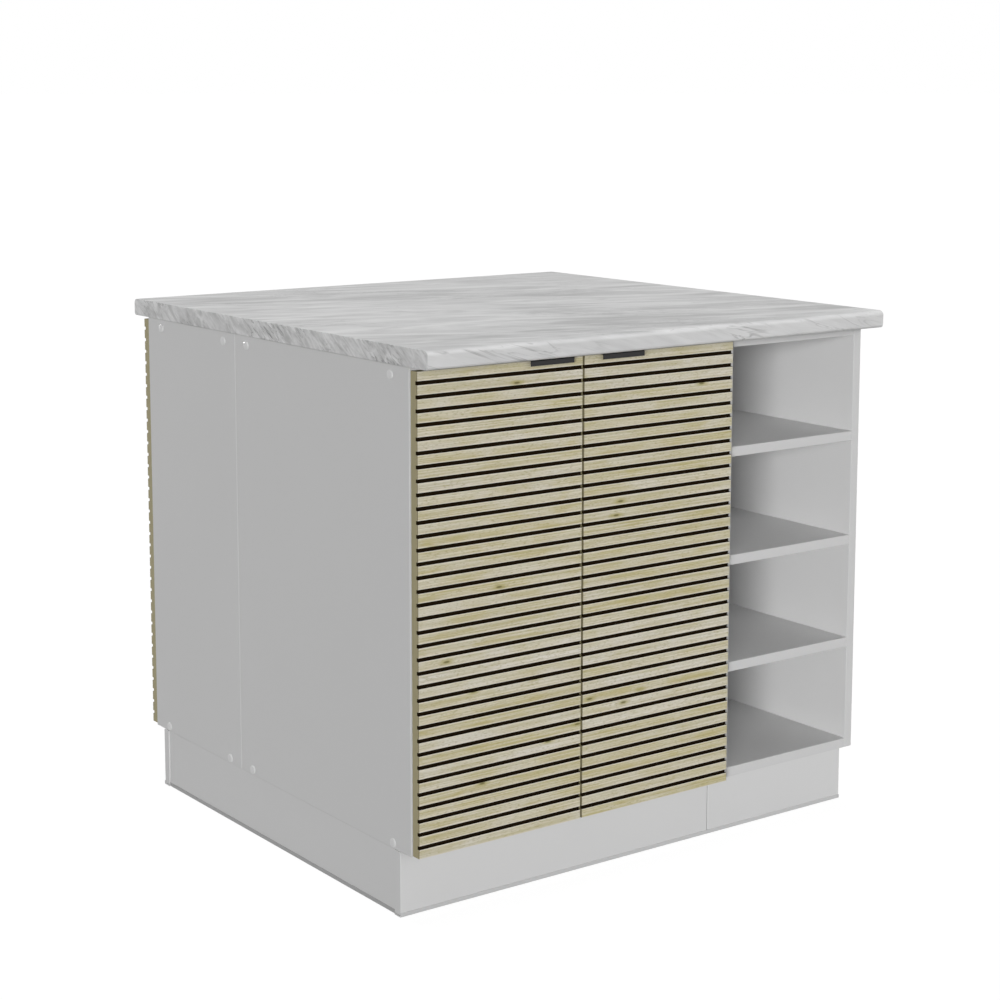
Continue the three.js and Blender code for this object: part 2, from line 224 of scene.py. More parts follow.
def band_board(node, banded, inner_side):
    """A coated board in place of a CAD node. `banded` lists its banded edges as
    (axis, sign): the strip of ABS there is scored off and gets its own finish.
    `inner_side` is the sign on X of a side panel's face that looks into the
    cupboard, which keeps the inner white; its other faces take a greyer copy,
    as painted shade. A board that is inside all round has 0 and takes a whiter
    copy, as painted light."""
    low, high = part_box(node)
    board = saw_blank(node + "_board", low, high)
    edges = [(axis, low[axis] if sign < 0 else high[axis], sign) for axis, sign in banded]
    cut_lines(board, [(axis, place - sign * ABS_BAND) for axis, place, sign in edges])
    round_arrises(board, ARRIS)
    coated, band, inside = range(3)
    # A side's outer faces get the greyer copy (painted shade), a flat board the whiter copy
    # (painted light).
    for material in (melamine if inner_side else shelf_melamine_painted_light, abs_band, inside_melamine):
        board.data.materials.append(material)
    for face in board.data.polygons:
        on_band = any(
            abs(face.center[axis] - place) < ABS_BAND * 0.99 and face.normal[axis] * sign > 0.3
            for axis, place, sign in edges
        )
        looks_in = face.normal.x * inner_side > 0.5
        face.material_index = band if on_band else inside if looks_in else coated
    smooth_curves(board)
    return fit_to_island(board, "island", [node])


FRONT, REAR = (1, -1), (1, 1)
for unit in ("cupboard", "open_unit", "rear_unit"):
    band_board(f"{unit}_left_side", [FRONT, REAR], 1)
    band_board(f"{unit}_right_side", [FRONT, REAR], -1)
for level in (
    "cupboard_bottom", "cupboard_front_rail", "cupboard_rear_rail", "cupboard_shelf",
    "open_unit_bottom", "open_unit_lower_shelf", "open_unit_middle_shelf",
    "open_unit_upper_shelf", "open_unit_top",
):
    band_board(level, [FRONT], 0)
for level in ("rear_unit_bottom", "rear_unit_top", "rear_unit_shelf"):
    band_board(level, [REAR], 0)


# -------------------------------------------------------------------- backs
# 3 mm hardboard, painted white on its smooth side and nailed to the rear
# edges of the carcasses. The paint lets a little of the fibre show.

SHEET_ARRIS = 0.3 * MM
# Pulp fibres are finer than this, and are drawn as coarse as they need to show.
PULP = (1.43 * MM, 1.43 * MM, 4.08 * MM)


def paint_hardboard(name, colour, fibre_colour):
    """Thin matt paint on pressed wood fibre: the fibres that stand up are seen
    through it as a faint upright fleck."""
    finish = new_finish(name)
    fibre = noise(finish, PULP, 4.0)
    standing = add_node(
        finish, "ShaderNodeMapRange",
        {"Value": fibre, "From Min": 0.55, "From Max": 0.8, "To Max": 0.5},
    )
    paint = blend(finish, standing.outputs["Result"], linear(colour), linear(fibre_colour))
    relief = emboss(finish, fibre, 0.1, 0.2 * MM)
    return coat(
        finish,
        {"Base Color": paint, "Roughness": 0.62, "Normal": relief},
    )


hardboard = paint_hardboard("hardboard_painted_white", "#D3D3D2", "#C8C7C4")
for back in ("cupboard_back", "open_unit_back", "rear_unit_back"):
    low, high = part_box(back)
    sheet = saw_blank(back + "_sheet", low, high)
    round_arrises(sheet, SHEET_ARRIS, 1)
    sheet.data.materials.append(hardboard)
    fit_to_island(sheet, "island", [back])


# --------------------------------------------------------------------- legs
# Adjustable legs moulded in black polypropylene: a foot on a threaded shaft
# in a flanged socket that is screwed under the carcasses.

# The mould's grain is finer, and is drawn as coarse as it needs to show.
MOULD_GRAIN = 1.11 * MM


def mould_plastic(name, colour, roughness):
    """Polypropylene from a spark-eroded mould: a fine, even grain that scatters
    the light, with a faint sheen where it has been handled."""
    finish = new_finish(name)
    grain = noise(finish, [MOULD_GRAIN] * 3, 3.0)
    relief = emboss(finish, grain, 0.25, 0.3 * MM)
    dull = add_node(
        finish, "ShaderNodeMapRange",
        {"Value": grain, "To Min": roughness - 0.08, "To Max": roughness + 0.08},
    )
    return coat(
        finish,
        {
            "Base Color": linear(colour), "Roughness": dull.outputs["Result"],
            "Normal": relief, "IOR": 1.49,
        },
    )


def refinish(node, material):
    """Gives a CAD node that is kept as it is its own finish."""
    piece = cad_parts[node]
    piece.data.materials.clear()
    piece.data.materials.append(material)


polypropylene = mould_plastic("polypropylene_black_moulded", "#202122", 0.55)
for leg in [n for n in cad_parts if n.startswith("leg_")]:
    refinish(leg, polypropylene)


# ------------------------------------------------------------------- plinth
# Boards of the same white-coated chipboard stand between the legs and the
# floor. A soft grey PVC seal is pushed on their lower edge: its lip stands
# proud of the board and leans back to the floor.

END_EASE = 0.4 * MM
SEAL_HEIGHT = 6.5 * MM
SEAL_WEB = 2 * MM
SEAL_LIP = 1.0 * MM
SEAL_SLIT = 0.15 * MM
SEAL_LEAN = 0.7 * MM
SEAL_ARRIS = 0.25 * MM
BOARD_OVER_WEB = 0.2 * MM

# The faces and seals that look to the side take greyer copies of the white and of the seal, as
# painted shade.
plinth_melamine = coat_melamine("melamine_white_plinth", "#D7D7D7", "#D9D9D9", 0.6)
side_melamine_painted_shade = coat_melamine("melamine_white_plinth_side_painted_shade", "#C9C9C9", "#CBCBCB", 0.6)
front_seal = mould_plastic("pvc_seal_grey_light", "#C8C8C8", 0.5)
side_seal_painted_shade = mould_plastic("pvc_seal_grey_painted_shade", "#9A9A9A", 0.5)


def choose(piece, kind, test):
    """Selects, in edit mode, the verts, edges or faces that pass a test."""
    mesh = bmesh.from_edit_mesh(piece.data)
    bpy.ops.mesh.select_mode(type={"verts": "VERT", "edges": "EDGE", "faces": "FACE"}[kind])
    bpy.ops.mesh.select_all(action="DESELECT")
    for part in getattr(mesh, kind):
        if test(part):
            part.select_set(True)
    mesh.select_flush_mode()
    bmesh.update_edit_mesh(piece.data)


def stand_plinth(node, axis, out):
    """A plinth board and its seal. `axis` is the one that the board faces
    along, and `out` is the sign of the outward way on it."""
    low, high = (list(v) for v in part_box(node))
    along = 1 - axis
    middle = (low[along] + high[along]) / 2
    # The CAD section's lip is its outermost point: the face lies behind it.
    face = (high[axis] if out > 0 else low[axis]) - out * SEAL_LIP
    inside = low[axis] if out > 0 else high[axis]

    def between(z0, z1, a, b):
        corner_low, corner_high = list(low), list(high)
        corner_low[axis], corner_high[axis] = min(a, b), max(a, b)
        corner_low[2], corner_high[2] = z0, z1
        return corner_low, corner_high

    board = saw_blank(
        node + "_board", *between(SEAL_WEB + BOARD_OVER_WEB, high[2], inside, face)
    )
    # The ends are eased, so that two boards in a row meet in a fine dark line.
    ends = [(low[along] + END_EASE, 1), (high[along] - END_EASE, -1)]
    bpy.context.view_layer.objects.active = board
    bpy.ops.object.mode_set(mode="EDIT")
    for place, sign in ends:
        choose(board, "verts", lambda v, s=sign: (v.co[along] - middle) * s < 0)
        shift = [0.0, 0.0, 0.0]
        shift[along] = sign * END_EASE
        bpy.ops.transform.translate(value=shift)
    bpy.ops.object.mode_set(mode="OBJECT")
    cut_lines(board, [(along, place + sign * ABS_BAND) for place, sign in ends])
    round_arrises(board, ARRIS)
    coated, end_band = range(2)
    # Faces that look to the side, the ends of the front and rear boards among them, take the
    # greyer copy: painted shade.
    board.data.materials.append(plinth_melamine if axis == 1 else side_melamine_painted_shade)
    board.data.materials.append(side_melamine_painted_shade if axis == 1 else abs_band)
    for polygon in board.data.polygons:
        from_end = min((polygon.center[along] - place) * sign for place, sign in ends)
        polygon.material_index = end_band if from_end < 0.4 * ARRIS else coated
    smooth_curves(board)
    fit_to_island(board, "island", [node])

    # The seal is a web under the board, from which the lip is drawn up in front.
    lip = face + out * SEAL_LIP
    seal = saw_blank(node + "_seal", *between(0.0, SEAL_WEB, inside, lip))
    cut_lines(seal, [(axis, face + out * SEAL_SLIT)])
    bpy.ops.object.mode_set(mode="EDIT")
    choose(
        seal, "faces",
        lambda f: f.normal.z > 0.9 and (f.calc_center_median()[axis] - face) * out > 0,
    )
    bpy.ops.mesh.extrude_region_move(
        TRANSFORM_OT_translate={"value": (0, 0, SEAL_HEIGHT - SEAL_WEB)}
    )
    # The lip leans back towards the floor.
    choose(
        seal, "verts",
        lambda v: v.co.z < SEAL_WEB / 4 and (v.co[axis] - face) * out > SEAL_LIP / 2,
    )
    back = [0.0, 0.0, 0.0]
    back[axis] = -out * SEAL_LEAN
    bpy.ops.transform.translate(value=back)
    bpy.ops.object.mode_set(mode="OBJECT")
    round_arrises(seal, SEAL_ARRIS, 2)
    # A side seal takes the deeper grey, as painted shade.
    seal.data.materials.append(front_seal if axis == 1 else side_seal_painted_shade)
    smooth_curves(seal)
    fit_to_island(seal, "island", [node])


stand_plinth("plinth_front_wide", 1, -1)
stand_plinth("plinth_front_narrow", 1, -1)
stand_plinth("plinth_rear", 1, 1)
stand_plinth("plinth_left", 0, -1)
stand_plinth("plinth_right", 0, 1)


# --------------------------------------------------------------- screw caps
# The carcass screws go in from outside and are covered with white plastic
# caps, four to a side panel: one near each corner, slightly domed.

CAP_RADIUS = 7.2 * MM
CAP_RISE = 1.8 * MM
CAP_FROM_FRONT = 48 * MM
CAP_FROM_SEAM = 37.5 * MM
CAP_FROM_TOP = 15 * MM
CAP_FROM_BOTTOM = 8.5 * MM

cap_plastic = mould_plastic("polyethylene_cap_white", "#CCCCCC", 0.35)


def turn(name, rings, segments=24):
    """A turned piece about Z, from (radius, height) rings, from the bottom up."""
    bpy.ops.object.select_all(action="DESELECT")
    radius, height = rings[0]
    bpy.ops.mesh.primitive_circle_add(
        vertices=segments, radius=radius, fill_type="NGON", location=(0, 0, height)
    )
    piece = bpy.context.active_object
    piece.name = name
    piece.data.name = name
    bpy.ops.object.transform_apply(location=True, rotation=True, scale=True)
    bpy.ops.object.mode_set(mode="EDIT")
    bpy.ops.mesh.select_all(action="SELECT")
    for next_radius, next_height in rings[1:]:
        bpy.ops.mesh.extrude_region_move(
            TRANSFORM_OT_translate={"value": (0, 0, next_height - height)}
        )
        grow = next_radius / radius
        bpy.ops.transform.resize(value=(grow, grow, 1), center_override=(0, 0, next_height))
        radius, height = next_radius, next_height
    bpy.ops.mesh.select_all(action="SELECT")
    bpy.ops.mesh.normals_make_consistent(inside=False)
    bpy.ops.object.mode_set(mode="OBJECT")
    return piece


def settle(piece, place, tilt=(0, 0, 0)):
    """Tilts a piece (degrees about X, Y, Z) and sets it in place, into its mesh."""
    bpy.ops.object.select_all(action="DESELECT")
    piece.select_set(True)
    bpy.context.view_layer.objects.active = piece
    turned = Euler([math.radians(a) for a in tilt]).to_matrix().to_4x4()
    piece.matrix_world = Matrix.Translation(Vector(place)) @ turned
    bpy.ops.object.transform_apply(location=True, rotation=True, scale=True)
    return piece


def cap_panel(node, out, outer_y, inner_y):
    """The four caps of one side panel. `out` is the way that it faces on X."""
    low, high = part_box(node)
    x = high.x if out > 0 else low.x
    inward = 1 if outer_y < inner_y else -1
    rows = [outer_y + inward * CAP_FROM_FRONT, inner_y - inward * CAP_FROM_SEAM]
    levels = [low.z + CAP_FROM_BOTTOM, high.z - CAP_FROM_TOP]
    dome = ((1, 0), (1, 0.35), (0.94, 0.75), (0.75, 0.95), (0.4, 1), (0.1, 1))
    for i, (y, z) in enumerate((y, z) for y in rows for z in levels):
        cap = turn(f"{node}_cap_{i + 1}", [(CAP_RADIUS * r, CAP_RISE * h) for r, h in dome])
        settle(cap, (x, y, z), (0, 90 * out, 0))
        cap.data.materials.append(cap_plastic)
        smooth_curves(cap, 60)
        fit_to_island(cap, "island")


front_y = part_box("cupboard_left_side")[0].y
seam_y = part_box("cupboard_left_side")[1].y
rear_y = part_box("rear_unit_left_side")[1].y
cap_panel("cupboard_left_side", -1, front_y, seam_y)
cap_panel("open_unit_right_side", 1, front_y, seam_y)
cap_panel("rear_unit_left_side", -1, rear_y, seam_y)
cap_panel("rear_unit_right_side", 1, rear_y, seam_y)


# --------------------------------------------------------------- shelf pins
# The loose shelves of the cupboards lie on nickel-plated steel pins, pushed
# into holes in the side panels, two to a side.

PIN_RADIUS = 2.5 * MM
PIN_REACH = 9 * MM
PIN_COLLAR = 3.75 * MM
PIN_COLLAR_RISE = 1.2 * MM
PIN_TIP = 0.6 * MM
PIN_FROM_EDGE = 45 * MM
PIN_UNDER_SHELF = 0.1 * MM
SHELF_GAP = 0.3 * MM
# Rolling lines are finer than this, and are drawn as coarse as they need to show.
ROLLING = (0.667 * MM, 11.1 * MM, 0.667 * MM)


def plate_steel(name, colour, roughness):
    """Nickel-plated pressed steel: a clean grey metal whose rolling lines were
    not polished out, so its highlights spread a little along one way."""
    finish = new_finish(name)
    lines = noise(finish, ROLLING, 3.0)
    dull = add_node(
        finish, "ShaderNodeMapRange",
        {"Value": lines, "To Min": roughness - 0.08, "To Max": roughness + 0.12},
    )
    relief = emboss(finish, lines, 0.08, 0.2 * MM)
    return coat(
        finish,
        {
            "Base Color": linear(colour), "Metallic": 1.0, "Roughness": dull.outputs["Result"],
            "Normal": relief,
        },
    )


nickel = plate_steel("steel_nickel_plated", "#B4B5B7", 0.3)


def pin_shelf(node):
    """The four pins of one shelf. Each has a collar that stops it in its hole."""
    low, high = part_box(node)
    z = low.z - PIN_COLLAR - PIN_UNDER_SHELF
    for side, x, inward in (("left", low.x - SHELF_GAP, 1), ("right", high.x + SHELF_GAP, -1)):
        for end, y in (("front", low.y + PIN_FROM_EDGE), ("rear", high.y - PIN_FROM_EDGE)):
            pin = turn(
                f"{node}_pin_{side}_{end}",
                [
                    (PIN_COLLAR, 0.0), (PIN_COLLAR, PIN_COLLAR_RISE),
                    (PIN_RADIUS, PIN_COLLAR_RISE), (PIN_RADIUS, PIN_REACH - PIN_TIP),
                    (PIN_RADIUS * 0.75, PIN_REACH),
                ],
                16,
            )
            settle(pin, (x, y, z), (0, 90 * inward, 0))
            pin.data.materials.append(nickel)
            smooth_curves(pin, 40)
            fit_to_island(pin, "island")


pin_shelf("cupboard_shelf")
pin_shelf("rear_unit_shelf")


# ------------------------------------------------------------------- hinges
# Concealed hinges in nickel-plated steel: an arm on a butterfly plate that is
# screwed to the side panel, and a cup pressed into the door. The screws have
# domed heads with a cross recess.

# Radius and rise of each kind of screw head.
PLATE_SCREW = (3.6 * MM, 1.5 * MM)
CLAMP_SCREW = (3.2 * MM, 1.3 * MM)
CUP_SCREW = (3.0 * MM, 0.6 * MM)

# Where they sit, from the front edge of the panel, from the middle of the
# hinge, and above the panel's face.
PLATE_SCREW_DEPTH = 38 * MM
PLATE_SCREW_SPREAD = 17 * MM
PLATE_SCREW_SEAT = 3.3 * MM
CLAMP_SCREW_DEPTH = 50 * MM
CLAMP_SCREW_SEAT = 14.7 * MM
CUP_SCREW_SPREAD = 22 * MM
CUP_SCREW_SUNK = 0.35 * MM

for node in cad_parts:
    if "hinge" in node:
        refinish(node, nickel)


def drive_screw(name, size, place, tilt):
    """A screw head: turned, then cut with two crossed slots."""
    radius, rise = size
    dome = ((1, 0), (1, 0.35), (0.85, 0.75), (0.5, 1), (0.1, 1))
    head = turn(name, [(radius * r, rise * h) for r, h in dome], 20)
    for i, (half_x, half_y) in enumerate(((0.6, 0.12), (0.12, 0.6))):
        slot = saw_blank(
            f"{name}_slot_{i}",
            (-half_x * radius, -half_y * radius, rise * 0.45),
            (half_x * radius, half_y * radius, rise * 2),
        )
        cut = head.modifiers.new("recess", "BOOLEAN")
        cut.operation = "DIFFERENCE"
        cut.object = slot
        bpy.context.view_layer.objects.active = head
        bpy.ops.object.modifier_apply(modifier=cut.name)
        bpy.data.objects.remove(slot)
    settle(head, place, tilt)
    head.data.materials.append(nickel)
    smooth_curves(head, 30)
    return head


def join(name, pieces):
    """Makes one piece of several."""
    bpy.ops.object.select_all(action="DESELECT")
    for piece in pieces:
        piece.select_set(True)
    bpy.context.view_layer.objects.active = pieces[0]
    bpy.ops.object.join()
    whole = bpy.context.active_object
    whole.name = name
    whole.data.name = name
    return whole


def screw_arm(door, level, on_left, back):
    """Two screws through the plate and one that clamps the arm on it, on the
    inner face of the side panel at the left or the right."""
    low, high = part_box(f"{door}_hinge_arm_{level}")
    z = (low.z + high.z) / 2
    panel_x, inward = (low.x, 1) if on_left else (high.x, -1)
    edge_y = front_y if back > 0 else rear_y
    tilt = (0, 90 * inward, 0)
    x, y = panel_x + inward * PLATE_SCREW_SEAT, edge_y + back * PLATE_SCREW_DEPTH
    screws = [
        drive_screw(f"screw_{i}", PLATE_SCREW, (x, y, z + dz), tilt)
        for i, dz in enumerate((-PLATE_SCREW_SPREAD, PLATE_SCREW_SPREAD))
    ]
    x, y = panel_x + inward * CLAMP_SCREW_SEAT, edge_y + back * CLAMP_SCREW_DEPTH
    screws.append(drive_screw("screw_clamp", CLAMP_SCREW, (x, y, z), tilt))
    fit_to_island(join(f"{door}_hinge_arm_{level}_screws", screws), "island")


def screw_cup(door, level, back):
    """The cup's two wood screws, seen when the door stands open."""
    low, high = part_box(f"{door}_hinge_cup_{level}")
    x, z = (low.x + high.x) / 2, (low.z + high.z) / 2
    y = (high.y if back > 0 else low.y) - back * CUP_SCREW_SUNK
    screws = [
        drive_screw(f"screw_{i}", CUP_SCREW, (x, y, z + dz), (-90 * back, 0, 0))
        for i, dz in enumerate((-CUP_SCREW_SPREAD, CUP_SCREW_SPREAD))
    ]
    cup_screws = join(f"{door}_hinge_cup_{level}_screws", screws)
    fit_to_island(cup_screws, f"{door}_door_leaf")


for door in ("front_left", "front_right", "rear_left", "rear_right"):
    for level in ("lower", "upper"):
        # The sign on Y of the way from the door's face into its cupboard.
        back = 1 if door.startswith("front") else -1
        screw_arm(door, level, door.endswith("left"), back)
        screw_cup(door, level, back)


# -------------------------------------------------------------------- doors
# 16 mm boards with a light ash face, milled right across with grooves every
# 20 mm that are lacquered black, so the face reads as slats. The upright and
# end edges are banded in a darker olive oak, and the back is white melamine.

GROOVE_PITCH = 20 * MM
GROOVE_HEIGHT = 5.2 * MM
GROOVE_DEPTH = 4 * MM
SLAT_ARRIS = 0.35 * MM
CUP_RADIUS = 17.5 * MM
CUP_BORE = 10.7 * MM
TOOL_OVERRUN = 5 * MM

# The veneer's grain on X, Y and Z. Y is the depth, where it hardly changes.
FIBRE = (250 * MM, 1.0, 2.0833 * MM)
PATCH = (76.92 * MM, 1.0, 18.18 * MM)
SPECK = (5.882 * MM, 1.0, 1.5625 * MM)
KNOT_CELL = (111.11 * MM, 33.333 * MM, 1.0)
PALE_EDGE = 0.8 * MM
PALE_EDGE_FADE = 2.6 * MM
VENEER_LENGTH = 300 * MM
EDGE_FIBRE = (2.5 * MM, 2.5 * MM, 167 * MM)
SPRAY = 3.33 * MM


def lay_over(finish, ground, colour, pattern, clear, full, most=1.0):
    """Lays a colour over a ground, from none of it where a pattern reads
    `clear` up to `most` where it reads `full`."""
    amount = add_node(
        finish, "ShaderNodeMapRange",
        {"Value": pattern, "From Min": clear, "From Max": full, "To Max": most},
    )
    laid = blend(finish, amount.outputs["Result"], ground, colour)
    return laid


def veneer_slats(name, first_groove):
    """Ash veneer in the slats: long, fine grain along the slat with short dark
    flecks, a tone of its own for each slat, yellow and grey patches as long as
    a finger, and now and then a pin knot in an olive streak."""
    finish = new_finish(name)
    place = add_node(finish, "ShaderNodeTexCoord").outputs["Object"]

    # Counts lengths of veneer on X, the front and rear rows on Y and slats on
    # Z. A front door takes one length of veneer and a rear door takes two.
    counted = add_node(
        finish, "ShaderNodeMapping",
        {
            "Vector": place, "Location": (-VENEER_LENGTH / 2, -1.0, first_groove),
            "Scale": (VENEER_LENGTH, 1.0, GROOVE_PITCH),
        },
        vector_type="TEXTURE",
    ).outputs["Vector"]
    whole = add_node(finish, "ShaderNodeVectorMath", {0: counted}, operation="FLOOR")
    number = add_node(
        finish, "ShaderNodeVectorMath", {0: whole.outputs["Vector"], 1: (61.0, 400.0, 1.0)},
        operation="DOT_PRODUCT",
    )
    chance = add_node(
        finish, "ShaderNodeTexWhiteNoise", {"W": number.outputs["Value"]},
        noise_dimensions="1D",
    ).outputs["Color"]

    # Each slat is cut from another place in the sheet of veneer.
    sheet = add_node(
        finish, "ShaderNodeVectorMath", {0: place, 1: (1.0, 0.0, 1.0)}, operation="MULTIPLY"
    )
    cut = add_node(
        finish, "ShaderNodeVectorMath",
        {0: chance, 1: (7.0, 5.0, 0.0), 2: sheet.outputs["Vector"]},
        operation="MULTIPLY_ADD",
    ).outputs["Vector"]

    def grain(size, detail, distortion):
        return noise(finish, size, detail, 0.6, distortion, place=cut)

    fibre = grain(FIBRE, 3.0, 0.4)
    patch = grain(PATCH, 2.0, 0.5)
    speck = grain(SPECK, 1.0, 0.0)

    # From grey to yellow: half by the slat, the rest in patches and fibres.
    by_slat = add_node(finish, "ShaderNodeSeparateColor", {"Color": chance}).outputs["Blue"]
    by_patch = add_node(
        finish, "ShaderNodeMapRange",
        {"Value": patch, "From Min": 0.36, "From Max": 0.64, "To Max": 0.45},
    ).outputs["Result"]
    by_fibre = add_node(
        finish, "ShaderNodeMapRange",
        {"Value": fibre, "From Min": 0.35, "From Max": 0.65, "To Max": 0.15},
    ).outputs["Result"]
    patchy = add_node(
        finish, "ShaderNodeMath", {0: by_slat, 1: 0.5, 2: by_patch}, operation="MULTIPLY_ADD"
    )
    yellow = add_node(
        finish, "ShaderNodeMath", {0: patchy.outputs["Value"], 1: by_fibre}, operation="ADD"
    )
    tone = blend(finish, yellow.outputs["Value"], linear("#D5D1C7"), linear("#BAB080"))
    tone = lay_over(finish, tone, linear("#AAA178"), fibre, 0.5, 0.72, 0.45)
    tone = lay_over(finish, tone, linear("#E6E0D2"), fibre, 0.5, 0.28, 0.5)
    tone = lay_over(finish, tone, linear("#A2986B"), speck, 0.53, 0.75, 0.6)

    # The slats are paler along both edges, next to the grooves.
    pitches = add_node(finish, "ShaderNodeSeparateXYZ", {"Vector": counted}).outputs["Z"]
    from_groove = add_node(
        finish, "ShaderNodeMath", {0: pitches, 1: 0.5}, operation="PINGPONG"
    ).outputs["Value"]
    clear, full = (
        (GROOVE_HEIGHT / 2 + width) / GROOVE_PITCH for width in (PALE_EDGE_FADE, PALE_EDGE)
    )
    tone = lay_over(finish, tone, linear("#DFD9CA"), from_groove, clear, full, 0.9)

    # Knots: cells of about a hand's length, of which few hold a knot.
    sides = add_node(finish, "ShaderNodeSeparateXYZ", {"Vector": cut}).outputs
    upright = add_node(finish, "ShaderNodeCombineXYZ", {"X": sides["X"], "Y": sides["Z"]})
    cells = add_node(
        finish, "ShaderNodeMapping",
        {"Vector": upright.outputs["Vector"], "Scale": KNOT_CELL},
        vector_type="TEXTURE",
    )
    knot = add_node(
        finish, "ShaderNodeTexVoronoi",
        {"Vector": cells.outputs["Vector"], "Scale": 1.0, "Randomness": 0.9},
        voronoi_dimensions="2D",
    ).outputs
    lot = add_node(finish, "ShaderNodeSeparateColor", {"Color": knot["Color"]}).outputs["Red"]
    for colour, rare, clear, full, most in (
        ("#A0964F", 0.86, 0.16, 0.04, 0.7),
        ("#65603A", 0.9, 0.06, 0.03, 0.8),
    ):
        drawn = add_node(finish, "ShaderNodeMath", {0: lot, 1: rare}, operation="GREATER_THAN")
        share = add_node(
            finish, "ShaderNodeMath", {0: drawn.outputs["Value"], 1: most}, operation="MULTIPLY"
        )
        tone = lay_over(
            finish, tone, linear(colour), knot["Distance"], clear, full, share.outputs["Value"]
        )

    relief = emboss(finish, fibre, 0.12, 0.4 * MM)
    dull = add_node(
        finish, "ShaderNodeMapRange",
        {"Value": fibre, "From Min": 0.3, "From Max": 0.7, "To Min": 0.5, "To Max": 0.62},
    )
    return coat(
        finish,
        {
            "Base Color": tone, "Roughness": dull.outputs["Result"],
            "Normal": relief, "IOR": 1.5, "Specular IOR Level": 0.3,
        },
    )


def veneer_edge(name, colour, dark):
    """Oak edge band, glued on and sanded: dull, with upright grain that is
    darker than the face."""
    finish = new_finish(name)
    fibre = noise(finish, EDGE_FIBRE, 4.0)
    oak = blend(finish, fibre, linear(colour), linear(dark))
    relief = emboss(finish, fibre, 0.1, 0.3 * MM)
    return coat(
        finish,
        {
            "Base Color": oak, "Roughness": 0.55,
            "Normal": relief, "IOR": 1.5,
        },
    )


def spray_lacquer(name, colour, warm, roughness):
    """Black lacquer sprayed into the grooves: near black, matt, a touch warm
    where the milled wood takes it up unevenly."""
    finish = new_finish(name)
    spray = noise(finish, [SPRAY] * 3, 2.0)
    black = blend(finish, spray, linear(colour), linear(warm))
    return coat(
        finish,
        {"Base Color": black, "Roughness": roughness, "Specular IOR Level": 0.0},
    )


door_low, door_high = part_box("front_left_door")
groove_count = int((door_high.z - door_low.z) / GROOVE_PITCH)
first_groove = (door_low.z + door_high.z) / 2 - (groove_count - 1) * GROOVE_PITCH / 2

ash_slats = veneer_slats("ash_veneer_slats", first_groove)
oak_edge = veneer_edge("oak_edge_band_olive", "#9A9272", "#8C8463")
groove_black = spray_lacquer("lacquer_black_sprayed", "#1D160C", "#221A0F", 0.7)
door_back = coat_melamine("melamine_white_door_back", "#DADADA", "#DDDDDD", 0.5)


def mill_door(door, out):
    """Cuts one door: grooves right across its face and two bores in its back.
    `out` is the sign of its face on Y."""
    node = f"{door}_door"
    low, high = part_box(node)
    leaf = saw_blank(f"{door}_slatted_leaf", low, high)
    face = high.y if out > 0 else low.y
    back = low.y if out > 0 else high.y

    # One groove's cutter, repeated upwards with an array.
    reach = sorted((face + out * TOOL_OVERRUN, face - out * GROOVE_DEPTH))
    cutter = saw_blank(
        "groove_cutter",
        (low.x - 2 * TOOL_OVERRUN, reach[0], first_groove - GROOVE_HEIGHT / 2),
        (high.x + 2 * TOOL_OVERRUN, reach[1], first_groove + GROOVE_HEIGHT / 2),
    )
    rows = cutter.modifiers.new("rows", "ARRAY")
    rows.count = groove_count
    rows.use_relative_offset = False
    rows.use_constant_offset = True
    rows.constant_offset_displace = (0, 0, GROOVE_PITCH)
    bpy.context.view_layer.objects.active = cutter
    bpy.ops.object.modifier_apply(modifier=rows.name)
    cutters = [cutter]
    for level in ("lower", "upper"):
        cup_low, cup_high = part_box(f"{door}_hinge_cup_{level}")
        bore = turn("cup_bore", [(CUP_RADIUS, 0.0), (CUP_RADIUS, CUP_BORE + TOOL_OVERRUN)], 48)
        x, z = (cup_low.x + cup_high.x) / 2, (cup_low.z + cup_high.z) / 2
        settle(bore, (x, back + out * CUP_BORE, z), (90 * out, 0, 0))
        cutters.append(bore)
    for tool in cutters:
        cut = leaf.modifiers.new("cut", "BOOLEAN")
        cut.operation = "DIFFERENCE"
        cut.solver = "EXACT"
        cut.object = tool
        bpy.context.view_layer.objects.active = leaf
        bpy.ops.object.modifier_apply(modifier=cut.name)
        bpy.data.objects.remove(tool)
    round_arrises(leaf, SLAT_ARRIS, 2)

    slats, lacquer, band, backing = range(4)
    for material in (ash_slats, groove_black, oak_edge, door_back):
        leaf.data.materials.append(material)
    for polygon in leaf.data.polygons:
        depth = (face - polygon.center.y) * out
        from_end = min(polygon.center.z - low.z, high.z - polygon.center.z)
        across, up = abs(polygon.normal.x), abs(polygon.normal.z)
        if across > 0.8 and depth > 0.5 * MM:
            index = band
        elif depth > high.y - low.y - 0.5 * MM and -polygon.normal.y * out > 0.5:
            index = backing
        elif 0.05 * MM < depth < GROOVE_DEPTH + 0.1 * MM and from_end > 5 * MM:
            index = lacquer
        elif from_end < 0.2 * MM:
            index = band
        elif depth > GROOVE_DEPTH + 0.2 * MM:
            index = band if across > 0.5 or (up > 0.5 and from_end < 2 * MM) else backing
        else:
            index = slats
        polygon.material_index = index
    smooth_curves(leaf, 30)
    fit_to_island(leaf, f"{door}_door_leaf", [node])


mill_door("front_left", -1)
mill_door("front_right", -1)
mill_door("rear_left", 1)
mill_door("rear_right", 1)


# ------------------------------------------------------------------ handles
# A strip of 1.2 mm steel bent over the door's top edge: a lip to pull by in
# front, a leg behind that takes two screws. Black powder coat.

STRIP = 1.2 * MM
STRIP_ARRIS = 0.2 * MM
BEND_RADIUS = 1.0 * MM
LIP_DROP = 7 * MM
HANDLE_SCREW = (2.6 * MM, 0.4 * MM)
HANDLE_SCREW_SPREAD = 28 * MM
HANDLE_SCREW_HEIGHT = 8 * MM
HANDLE_SCREW_SUNK = 0.1 * MM
PEEL = 1.54 * MM


